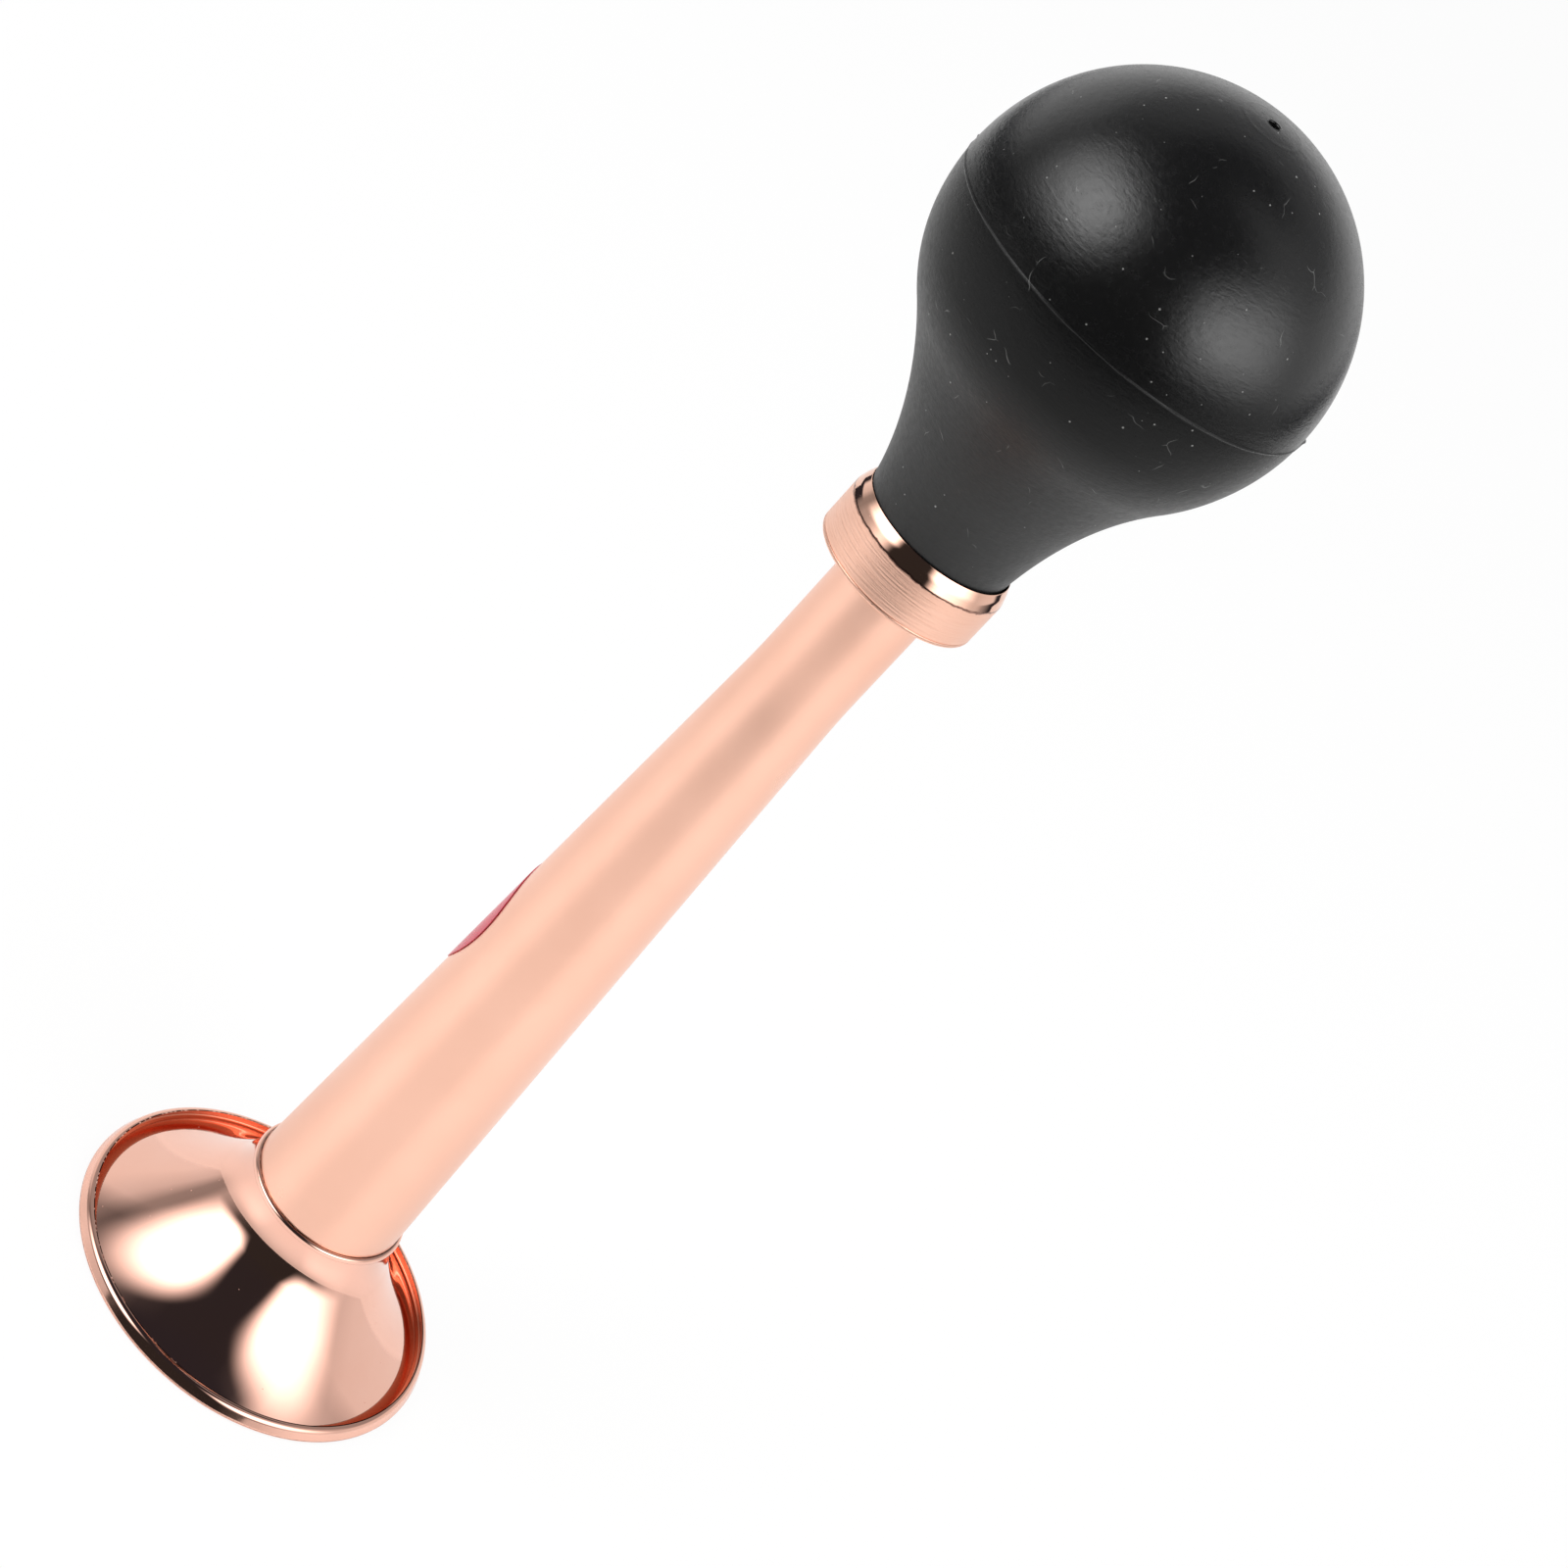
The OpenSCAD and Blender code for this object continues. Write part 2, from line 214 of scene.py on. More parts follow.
def turning_tree():
    """Geometry Nodes that turn a profile, a row of points in the XZ plane, about the Z axis."""
    tree = bpy.data.node_groups.new("turned_on_a_lathe", "GeometryNodeTree")
    tree.is_modifier = True
    sockets = tree.interface
    sockets.new_socket("Profile", in_out="INPUT", socket_type="NodeSocketGeometry")
    facets = sockets.new_socket("Facets round", in_out="INPUT", socket_type="NodeSocketInt")
    finish = sockets.new_socket("Finish", in_out="INPUT", socket_type="NodeSocketMaterial")
    sockets.new_socket("Piece", in_out="OUTPUT", socket_type="NodeSocketGeometry")
    given = add(tree, "NodeGroupInput")
    count = add(tree, "GeometryNodeAttributeDomainSize", {
        "Geometry": given.outputs["Profile"]}, component="MESH")
    columns = add(tree, "ShaderNodeMath", {0: given.outputs["Facets round"], 1: 1.0}, operation="ADD")
    grid = add(tree, "GeometryNodeMeshGrid", {
        "Size X": math.tau, "Size Y": 1.0,
        "Vertices X": columns.outputs[0], "Vertices Y": count.outputs["Point Count"]})
    place = add(tree, "ShaderNodeSeparateXYZ", {0: add(tree, "GeometryNodeInputPosition").outputs[0]})
    last = add(tree, "ShaderNodeMath", {0: count.outputs["Point Count"], 1: 1.0}, operation="SUBTRACT")
    up = add(tree, "ShaderNodeMath", {0: place.outputs["Y"], 1: 0.5}, operation="ADD")
    row = add(tree, "ShaderNodeMath", {0: up.outputs[0], 1: last.outputs[0]}, operation="MULTIPLY")
    nearest = add(tree, "ShaderNodeMath", {0: row.outputs[0]}, operation="ROUND")
    point = add(tree, "GeometryNodeSampleIndex", {
        "Geometry": given.outputs["Profile"],
        "Value": add(tree, "GeometryNodeInputPosition").outputs[0],
        "Index": nearest.outputs[0]}, data_type="FLOAT_VECTOR", domain="POINT")
    turned_point = add(tree, "ShaderNodeVectorRotate", {
        "Vector": point.outputs["Value"], "Angle": place.outputs["X"]}, rotation_type="Z_AXIS")
    laid = add(tree, "GeometryNodeSetPosition", {
        "Geometry": grid.outputs["Mesh"], "Position": turned_point.outputs["Vector"]})
    closed = add(tree, "GeometryNodeMergeByDistance", {"Geometry": laid.outputs[0], "Distance": 1e-7})
    smooth = add(tree, "GeometryNodeSetShadeSmooth", {"Geometry": closed.outputs[0]})
    real = add(tree, "GeometryNodeRealizeInstances", {"Geometry": smooth.outputs[0]})
    dressed = add(tree, "GeometryNodeSetMaterial", {
        "Geometry": real.outputs[0], "Material": given.outputs["Finish"]})
    add(tree, "NodeGroupOutput", {0: dressed.outputs[0]})
    return tree, facets.identifier, finish.identifier


LATHE, FACETS, FINISH = turning_tree()


def points_of(piece):
    co = np.empty(len(piece.data.vertices) * 3)
    piece.data.vertices.foreach_get("co", co)
    return co.reshape(-1, 3)


def move_points(piece, co):
    piece.data.vertices.foreach_set("co", co.astype(np.float32).ravel())
    piece.data.update()


def turned(name, profile, finish, facets):
    """A closed profile of (radius, height) points, turned into a plain mesh with its faces outwards."""
    line = bpy.data.meshes.new(name)
    edges = [(i, i + 1) for i in range(len(profile) - 1)]
    line.from_pydata([(r * MM, 0, z * MM) for r, z in profile], edges, [])
    piece = bpy.data.objects.new(name, line)
    bpy.context.scene.collection.objects.link(piece)
    lathe = piece.modifiers.new("lathe", "NODES")
    lathe.node_group = LATHE
    lathe[FACETS] = facets
    lathe[FINISH] = finish
    seen = piece.evaluated_get(bpy.context.evaluated_depsgraph_get())
    mesh = bpy.data.meshes.new_from_object(seen)
    piece.modifiers.remove(lathe)
    piece.data = mesh
    bpy.data.meshes.remove(line)
    mesh.name = name
    at = points_of(piece)
    mesh.calc_loop_triangles()
    tri = np.array([t.vertices for t in mesh.loop_triangles])
    if np.einsum("ij,ij->", at[tri[:, 0]], np.cross(at[tri[:, 1]], at[tri[:, 2]])) < 0:
        mesh.flip_normals()
    return piece


def from_faces(name, points, faces, finish):
    """A piece from its points and faces: doubles merged, faces outwards and cut edges sharp."""
    mesh = bpy.data.meshes.new(name)
    mesh.from_pydata(points, [], faces)
    mesh.materials.append(finish)
    form = bmesh.new()
    form.from_mesh(mesh)
    bmesh.ops.remove_doubles(form, verts=form.verts, dist=1e-7)
    bmesh.ops.dissolve_degenerate(form, edges=form.edges, dist=1e-8)
    bmesh.ops.recalc_face_normals(form, faces=form.faces)
    form.to_mesh(mesh)
    form.free()
    mesh.shade_smooth()
    mesh.set_sharp_from_angle(angle=math.radians(40))
    piece = bpy.data.objects.new(name, mesh)
    bpy.context.scene.collection.objects.link(piece)
    return piece


# Materials

def material(name):
    """A new material, its node tree, its shader and its Object coordinates."""
    made = bpy.data.materials.new(name)
    made.use_nodes = True
    tree = made.node_tree
    shader = tree.nodes["Principled BSDF"]
    return made, tree, shader, add(tree, "ShaderNodeTexCoord").outputs["Object"]


def in_groove(tree, place):
    """1 in the groove behind the bell's rim, 0 elsewhere, with a short fade at its edges."""
    flat = add(tree, "ShaderNodeVectorMath", {0: place, 1: (1, 1, 0)}, operation="MULTIPLY")
    out = add(tree, "ShaderNodeVectorMath", {0: flat.outputs[0]}, operation="LENGTH").outputs["Value"]
    up = add(tree, "ShaderNodeSeparateXYZ", {0: place}).outputs["Z"]
    begins = add(tree, "ShaderNodeMapRange", {
        "Value": out, "From Min": (GROOVE_R - 0.9) * MM, "From Max": (GROOVE_R - 0.1) * MM}).outputs[0]
    ends = add(tree, "ShaderNodeMapRange", {
        "Value": out, "From Min": (BELL_R - LIP_W) * MM, "From Max": (BELL_R - LIP_W + 0.1) * MM,
        "To Min": 1.0, "To Max": 0.0}).outputs[0]
    below = add(tree, "ShaderNodeMapRange", {
        "Value": up, "From Min": (RIM_H - 0.5) * MM, "From Max": (RIM_H - 0.1) * MM,
        "To Min": 1.0, "To Max": 0.0}).outputs[0]
    both = add(tree, "ShaderNodeMath", {0: begins, 1: ends}, operation="MULTIPLY").outputs[0]
    return add(tree, "ShaderNodeMath", {0: both, 1: below}, operation="MULTIPLY").outputs[0]


def pin_pits(tree, place, apart, share):
    """Pin-point pits, as an added roughness: millimetres apart, and the share of places that have one."""
    cells = add(tree, "ShaderNodeTexVoronoi", {"Vector": place, "Scale": per(apart)})
    pick = add(tree, "ShaderNodeSeparateColor", {"Color": cells.outputs["Color"]})
    chosen = add(tree, "ShaderNodeMath", {0: pick.outputs["Red"], 1: 1 - share}, operation="GREATER_THAN")
    near = add(tree, "ShaderNodeMapRange", {
        "Value": cells.outputs["Distance"], "From Min": 0.03, "From Max": 0.06,
        "To Min": 0.8, "To Max": 0.0})
    pits = add(tree, "ShaderNodeMath", {0: near.outputs[0], 1: chosen.outputs[0]}, operation="MULTIPLY")
    return pits.outputs[0]


def polished_copper():
    # Copper plate buffed to a mirror: clear reflections, a breath of haze, and pin-point pits
    made, tree, shader, place = material("polished_copper_plate")
    haze = add(tree, "ShaderNodeTexNoise", {"Vector": place, "Scale": per(7), "Detail": 4.0})
    cloud = add(tree, "ShaderNodeMapRange", {
        "Value": haze.outputs["Fac"], "From Min": 0.35, "From Max": 0.7, "To Min": 0.03, "To Max": 0.075})
    pits = pin_pits(tree, place, apart=2.2, share=0.32)
    rough = add(tree, "ShaderNodeMath", {0: cloud.outputs[0], 1: pits}, operation="ADD")
    tone = add(tree, "ShaderNodeMix", {
        "Factor": haze.outputs["Fac"], "A": linear("#FCC9B6"), "B": linear("#F9C1AC")}, data_type="RGBA")
    # The buffing wheel does not reach into the groove, so it is rougher there. Its deeper, darker orange is
    # painted shade, standing in for light bouncing in the groove
    groove = in_groove(tree, place)
    tone = add(tree, "ShaderNodeMix", {
        "Factor": groove, "A": tone.outputs["Result"], "B": linear("#F0A488")}, data_type="RGBA")
    rough = add(tree, "ShaderNodeMath", {0: groove, 1: 0.16, 2: rough.outputs[0]}, operation="MULTIPLY_ADD")
    wave = add(tree, "ShaderNodeTexNoise", {"Vector": place, "Scale": per(11), "Detail": 1.0})
    bump = add(tree, "ShaderNodeBump", {
        "Height": wave.outputs["Fac"], "Strength": 0.05, "Distance": 0.4 * MM})
    fill(tree, shader, {
        "Metallic": 1.0, "Base Color": tone.outputs["Result"], "Roughness": rough.outputs[0],
        "Normal": bump.outputs[0]})
    return made


def satin_copper():
    # Copper plate over a finely blasted tube: a soft, almost even glow with faint lengthwise lines
    made, tree, shader, place = material("satin_copper_plate")
    long = add(tree, "ShaderNodeMapping", {"Vector": place, "Scale": (1.0, 1.0, 0.03)})
    lines = add(tree, "ShaderNodeTexNoise", {"Vector": long.outputs[0], "Scale": per(0.5), "Detail": 2.0})
    cloud = add(tree, "ShaderNodeTexNoise", {"Vector": place, "Scale": per(18), "Detail": 3.0})
    rough = add(tree, "ShaderNodeMapRange", {
        "Value": cloud.outputs["Fac"], "From Min": 0.3, "From Max": 0.7, "To Min": 0.27, "To Max": 0.33})
    tone = add(tree, "ShaderNodeMix", {
        "Factor": cloud.outputs["Fac"], "A": linear("#FCCAB4"), "B": linear("#F9C3AB")}, data_type="RGBA")
    bump = add(tree, "ShaderNodeBump", {
        "Height": lines.outputs["Fac"], "Strength": 0.12, "Distance": 0.05 * MM})
    fill(tree, shader, {
        "Metallic": 1.0, "Base Color": tone.outputs["Result"], "Roughness": rough.outputs[0],
        "Normal": bump.outputs[0]})
    return made


def brushed_copper():
    # Copper plate brushed round its side and buffed on its shoulder: fine rings that break up the light
    # below, and a bright mirror above, with a ragged edge where the buffing stops
    made, tree, shader, place = material("brushed_copper_plate")
    rings = add(tree, "ShaderNodeMapping", {"Vector": place, "Scale": (0.04, 0.04, 1.0)})
    brush = add(tree, "ShaderNodeTexNoise", {"Vector": rings.outputs[0], "Scale": per(0.26), "Detail": 3.0})
    ragged = add(tree, "ShaderNodeTexNoise", {"Vector": place, "Scale": per(1.6), "Detail": 4.0})
    height = add(tree, "ShaderNodeSeparateXYZ", {0: place})
    ragged_z = add(tree, "ShaderNodeMath", {
        0: ragged.outputs["Fac"], 1: 0.9 * MM, 2: height.outputs["Z"]}, operation="MULTIPLY_ADD")
    side = add(tree, "ShaderNodeMapRange", {
        "Value": ragged_z.outputs[0], "From Min": (SHOULDER_Z + 0.2) * MM,
        "From Max": (SHOULDER_Z + 0.65) * MM, "To Min": 1.0, "To Max": 0.0})
    finish = add(tree, "ShaderNodeMapRange", {"Value": side.outputs[0], "To Min": 0.06, "To Max": 0.36})
    pits = pin_pits(tree, place, apart=0.9, share=0.3)
    rough = add(tree, "ShaderNodeMath", {0: finish.outputs[0], 1: pits}, operation="ADD")
    depth = add(tree, "ShaderNodeMath", {0: side.outputs[0], 1: 0.7}, operation="MULTIPLY")
    tone = add(tree, "ShaderNodeMix", {
        "Factor": brush.outputs["Fac"], "A": linear("#F5BFA6"), "B": linear("#FBCDB8")}, data_type="RGBA")
    # A dark line is painted where the buffing stops: painted shade, standing in for the dark reflection in
    # the crease between side and shoulder
    line = add(tree, "ShaderNodeValToRGB", {"Fac": side.outputs[0]})
    grey_stops(line.color_ramp, ((0.0, 0.0), (0.3, 0.75), (0.7, 0.75), (1.0, 0.0)))
    tone = add(tree, "ShaderNodeMix", {
        "Factor": line.outputs["Color"], "A": tone.outputs["Result"], "B": linear("#5C3228")},
        data_type="RGBA")
    bump = add(tree, "ShaderNodeBump", {
        "Height": brush.outputs["Fac"], "Strength": depth.outputs[0], "Distance": 0.06 * MM})
    fill(tree, shader, {
        "Metallic": 1.0, "Base Color": tone.outputs["Result"], "Roughness": rough.outputs[0],
        "Normal": bump.outputs[0]})
    return made


def dust_and_lint(tree, place):
    """How much white dust and lint lies on a surface, from 0 to 1."""
    # A third of the cells hold a speck of dust, of up to 0.3 mm
    dust = add(tree, "ShaderNodeTexVoronoi", {"Vector": place, "Scale": per(1.3)})
    pick = add(tree, "ShaderNodeSeparateColor", {"Color": dust.outputs["Color"]})
    kept = add(tree, "ShaderNodeMapRange", {
        "Value": pick.outputs["Red"], "From Min": 0.66, "From Max": 1.0, "To Min": 0.0, "To Max": 0.13})
    inside = add(tree, "ShaderNodeMath", {
        0: kept.outputs[0], 1: dust.outputs["Distance"]}, operation="SUBTRACT")
    speck = add(tree, "ShaderNodeMapRange", {
        "Value": inside.outputs[0], "From Min": 0.0, "From Max": 0.04, "To Min": 0.0, "To Max": 0.5})
    # Lint is short curved pieces of the walls between large, warped cells
    warp = add(tree, "ShaderNodeTexNoise", {"Vector": place, "Scale": per(5), "Detail": 2.0})
    bent = add(tree, "ShaderNodeVectorMath", {
        0: warp.outputs["Color"], 1: (5 * MM, 5 * MM, 5 * MM), 2: place}, operation="MULTIPLY_ADD")
    walls = add(tree, "ShaderNodeTexVoronoi", {
        "Vector": bent.outputs[0], "Scale": per(13)}, feature="DISTANCE_TO_EDGE")
    thin = add(tree, "ShaderNodeMapRange", {
        "Value": walls.outputs["Distance"], "From Min": 0.002, "From Max": 0.006,
        "To Min": 1.0, "To Max": 0.0})
    where = add(tree, "ShaderNodeTexNoise", {"Vector": place, "Scale": per(3.5), "Detail": 1.0})
    some = add(tree, "ShaderNodeMapRange", {
        "Value": where.outputs["Fac"], "From Min": 0.6, "From Max": 0.7, "To Min": 0.0, "To Max": 0.2})
    lint = add(tree, "ShaderNodeMath", {0: thin.outputs[0], 1: some.outputs[0]}, operation="MULTIPLY")
    dirt = add(tree, "ShaderNodeMath", {0: speck.outputs[0], 1: lint.outputs[0]}, operation="MAXIMUM")
    return dirt.outputs[0]


def moulded_rubber():
    # Black rubber from a bead-blasted mould: a matt skin with soft, scuffed highlights, dust and stray lint
    made, tree, shader, place = material("moulded_black_rubber")
    cloud = add(tree, "ShaderNodeTexNoise", {"Vector": place, "Scale": per(14), "Detail": 5.0})
    skin = add(tree, "ShaderNodeMix", {
        "Factor": cloud.outputs["Fac"], "A": linear("#0F0F0F"), "B": linear("#151515")}, data_type="RGBA")
    dusty = add(tree, "ShaderNodeMix", {
        "Factor": dust_and_lint(tree, place), "A": skin.outputs["Result"], "B": linear("#B9B9B7")},
        data_type="RGBA")
    # Scuffs and fine scratches break up the highlights
    scuff = add(tree, "ShaderNodeTexNoise", {
        "Vector": place, "Scale": per(0.9), "Detail": 7.0, "Roughness": 0.72})
    round_ball = add(tree, "ShaderNodeMapping", {"Vector": place, "Scale": (0.3, 0.3, 1.0)})
    scratch = add(tree, "ShaderNodeTexNoise", {
        "Vector": round_ball.outputs[0], "Scale": per(0.5), "Detail": 3.0, "Distortion": 0.6})
    worked = add(tree, "ShaderNodeMath", {
        0: scratch.outputs["Fac"], 1: scuff.outputs["Fac"]}, operation="ADD")
    bump = add(tree, "ShaderNodeBump", {
        "Height": worked.outputs[0], "Strength": 0.34, "Distance": 0.1 * MM})
    # Hands have polished the ball, and its neck has stayed matt
    height = add(tree, "ShaderNodeSeparateXYZ", {0: place})
    polish = add(tree, "ShaderNodeMapRange", {
        "Value": height.outputs["Z"], "From Min": (BALL_Z - 22) * MM, "From Max": (BALL_Z + 4) * MM,
        "To Min": 0.28, "To Max": 0.06})
    rough = add(tree, "ShaderNodeMath", {
        0: scuff.outputs["Fac"], 1: 0.35, 2: polish.outputs[0]}, operation="MULTIPLY_ADD")
    # The lower half of the mould was blasted more, so the ball has less sheen from its ridge down to the
    # neck, but for the ridge itself
    below = add(tree, "ShaderNodeMapRange", {
        "Value": height.outputs["Z"], "From Min": (BALL_Z - 32) * MM, "From Max": (BALL_Z + 9) * MM})
    sheen = add(tree, "ShaderNodeValToRGB", {"Fac": below.outputs[0]})
    grey_stops(sheen.color_ramp, (
        (0.0, 0.5), (0.3, 0.36), (0.55, 0.15), (0.776, 0.12), (0.7805, 0.36), (0.785, 0.14), (1.0, 0.5)))
    # The socket also holds one level of sheen for all over, under the linked ramp. An
    # exported model keeps this one level of sheen all over
    shader.inputs["Specular IOR Level"].default_value = 0.3
    fill(tree, shader, {
        "Base Color": dusty.outputs["Result"], "Roughness": rough.outputs[0],
        "Specular IOR Level": sheen.outputs["Color"], "Normal": bump.outputs[0]})
    return made


def blank_vinyl():
    # Blank red vinyl sticker: an almost even red with a soft gloss
    made, tree, shader, place = material("blank_red_vinyl")
    cloud = add(tree, "ShaderNodeTexNoise", {"Vector": place, "Scale": per(4), "Detail": 3.0})
    tone = add(tree, "ShaderNodeMix", {
        "Factor": cloud.outputs["Fac"], "A": linear("#C93A4E"), "B": linear("#D2465A")}, data_type="RGBA")
    rough = add(tree, "ShaderNodeMapRange", {
        "Value": cloud.outputs["Fac"], "To Min": 0.22, "To Max": 0.34})
    fill(tree, shader, {"Base Color": tone.outputs["Result"], "Roughness": rough.outputs[0]})
    return made


def moulded_plastic():
    # Cream ABS from a spark-eroded mould: an even, faintly grained skin
    made, tree, shader, place = material("moulded_cream_abs")
    grain = add(tree, "ShaderNodeTexNoise", {"Vector": place, "Scale": per(0.35), "Detail": 2.0})
    tone = add(tree, "ShaderNodeMix", {
        "Factor": grain.outputs["Fac"], "A": linear("#D3C8B0"), "B": linear("#DDD3BC")}, data_type="RGBA")
    rough = add(tree, "ShaderNodeMapRange", {
        "Value": grain.outputs["Fac"], "To Min": 0.38, "To Max": 0.52})
    bump = add(tree, "ShaderNodeBump", {
        "Height": grain.outputs["Fac"], "Strength": 0.2, "Distance": 0.05 * MM})
    fill(tree, shader, {
        "Base Color": tone.outputs["Result"], "Roughness": rough.outputs[0], "Normal": bump.outputs[0]})
    return made


def rolled_brass():
    # Rolled brass sheet: rolling lines along the reed and a dull yellow sheen
    made, tree, shader, place = material("rolled_brass_sheet")
    along = add(tree, "ShaderNodeMapping", {"Vector": place, "Scale": (1.0, 1.0, 0.05)})
    lines = add(tree, "ShaderNodeTexNoise", {"Vector": along.outputs[0], "Scale": per(0.2), "Detail": 3.0})
    tone = add(tree, "ShaderNodeMix", {
        "Factor": lines.outputs["Fac"], "A": linear("#C79E4C"), "B": linear("#DDB866")}, data_type="RGBA")
    rough = add(tree, "ShaderNodeMapRange", {
        "Value": lines.outputs["Fac"], "To Min": 0.22, "To Max": 0.4})
    fill(tree, shader, {
        "Metallic": 1.0, "Base Color": tone.outputs["Result"], "Roughness": rough.outputs[0]})
    return made


def plain_hardwood():
    # Split beech: short pores and pale streaks along the wedge
    made, tree, shader, place = material("split_beech")
    along = add(tree, "ShaderNodeMapping", {"Vector": place, "Scale": (1.0, 1.0, 0.15)})
    grain = add(tree, "ShaderNodeTexNoise", {"Vector": along.outputs[0], "Scale": per(0.7), "Detail": 5.0})
    tone = add(tree, "ShaderNodeMix", {
        "Factor": grain.outputs["Fac"], "A": linear("#A77949"), "B": linear("#C89B67")}, data_type="RGBA")
    bump = add(tree, "ShaderNodeBump", {
        "Height": grain.outputs["Fac"], "Strength": 0.3, "Distance": 0.1 * MM})
    fill(tree, shader, {
        "Base Color": tone.outputs["Result"], "Roughness": 0.6, "Normal": bump.outputs[0]})
    return made


# Pieces. The third number of a profile's point is its rounding.

def make_bell(finish):
    """Spun bell: a beaded neck that curves into a hollow flare, and a rim turned up and in over a groove."""
    throat, groove = np.array((NECK_R, NECK_Z)), np.array((GROOVE_R, GROOVE_Z))
    chord = groove - throat
    flare_r = (chord @ chord / 4 + FLARE_HOLLOW ** 2) / (2 * FLARE_HOLLOW)
    flare_mid = (throat + groove) / 2 + unit(np.array((-chord[1], chord[0]))) * (flare_r - FLARE_HOLLOW)
    from_mid = np.array((NECK_R, NECK_CURVE_Z)) - flare_mid
    neck_r = (flare_r ** 2 - from_mid @ from_mid) / (2 * (from_mid[0] + flare_r))
    neck_mid = np.array((NECK_R + neck_r, NECK_CURVE_Z))
    top, meet, bottom = (heading(flare_mid, p) for p in (throat, neck_mid, groove))
    neck = arc(neck_mid, neck_r, -math.pi, meet, steps=36)
    flare = arc(flare_mid, flare_r, meet, bottom, steps=64)
    inside = arc(flare_mid, flare_r + BELL_WALL, bottom, top, steps=24)
    profile = outline([
        (SOCKET_R, BELL_H, 0.05),
        (NECK_R + BEAD_OUT, BELL_H, BEAD_ROUND),
        (NECK_R + BEAD_OUT, BELL_H - BEAD_H, 0.06),
        (NECK_R, BELL_H - BEAD_H, 0.04),
        *[tuple(p) for p in neck[:-1] + flare[:-2]],
        (GROOVE_R, GROOVE_Z, GROOVE_ROUND),
        (BELL_R - LIP_W, GROOVE_Z, GROOVE_ROUND),
        (BELL_R - RIM_LEAN - LIP_W, RIM_H, 0.08),
        (BELL_R - RIM_LEAN, RIM_H, RIM_ROUND),
        (BELL_R, FOOT_SIDE_Z, 0.3),
        (BELL_R, 0, FOOT_ROUND),
        (FOOT_IN_R, 0, 0.05),
        *[tuple(p) for p in inside],
        (BORE_R, inside[-1][1] + inside[-1][0] - BORE_R, 0.05),
        (BORE_R, STOP_Z, 0.05),
        (SOCKET_R, STOP_Z, 0.05),
    ])
    piece = turned("bell_spun", profile, finish, facets=360)
    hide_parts("bell")
    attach(piece, "horn")


def make_tube(finish):
    """Tapered tube: its foot stands in the bell's neck, and its end is swaged over the collar's plate."""
    end_r, swage_r = TUBE_TOP_R - TUBE_WALL, TUBE_TOP_R + SWAGE_OUT
    profile = outline([
        (BORE_R, STOP_Z, 0.1),
        (TUBE_FOOT_R, STOP_Z, 0.1),
        (TUBE_FOOT_R, BELL_H, FOOT_TURN_ROUND),
        (TUBE_TOP_R, TAPER_Z, TAPER_ROUND),
        (TUBE_TOP_R, BOSS_Z, 0.2),
        (swage_r, BOSS_Z, 0.1),
        (swage_r, SWAGE_Z, 0.2),
        (end_r, SWAGE_Z, 0.2),
        (end_r, TAPER_Z, TAPER_ROUND),
        (BORE_R, BELL_H, FOOT_TURN_ROUND),
    ])
    piece = turned("tube_tapered", profile, finish, facets=256)
    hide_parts("horn_tube")
    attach(piece, "horn")


def make_collar(finish):
    """Drawn collar with a drawn-in shoulder, and the base plate whose edge shows as a line under it."""
    foot, mouth = np.array((COLLAR_R, SHOULDER_Z)), np.array((MOUTH_R, COLLAR_TOP))
    slope = mouth - foot
    swell = (foot + mouth) / 2 + unit(np.array((slope[1], -slope[0]))) * SHOULDER_SWELL
    wall = COLLAR_R - COLLAR_IN_R
    ring = turned("collar_drawn", outline([
        (COLLAR_IN_R, SEAM_Z, 0.05),
        (COLLAR_R, SEAM_Z, 0.16),
        (COLLAR_R, SHOULDER_Z, SHOULDER_ROUND),
        (swell[0], swell[1], SWELL_ROUND),
        (MOUTH_R + MOUTH_LAND, COLLAR_TOP, 0.1),
        (MOUTH_R, COLLAR_TOP, 0.05),
        (MOUTH_R, COLLAR_TOP - wall, 0.05),
        (COLLAR_IN_R, SHOULDER_Z, 0.1),
    ]), finish, facets=256)
    hole_r, boss_r = TUBE_TOP_R + PRESS_FIT, COLLAR_IN_R - PRESS_FIT
    plate = turned("collar_base_plate", outline([
        (hole_r, COLLAR_Z, 0.05),
        (COLLAR_R, COLLAR_Z, 0.26),
        (COLLAR_R, SEAM_Z, 0.18),
        (boss_r, SEAM_Z, 0.05),
        (boss_r, BOSS_Z, 0.1),
        (hole_r, BOSS_Z, 0.05),
    ]), finish, facets=256)
    for piece, node in ((ring, "collar"), (plate, "collar_plate")):
        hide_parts(node)
        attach(piece, "horn")


def on_ball(turn):
    """A point on the ball's outside, with the parting ridge and the faint ring of the mould's core pin."""
    from_axis, up = BALL_R * math.cos(turn), BALL_R * math.sin(turn)
    ridge = RIDGE_H * math.exp(-(up / RIDGE_W) ** 2)
    ring = MOULD_RING_H * math.exp(-((from_axis - MOULD_RING_R) / MOULD_RING_W) ** 2)
    r = BALL_R + ridge + ring
    return r * math.cos(turn), BALL_Z + r * math.sin(turn)


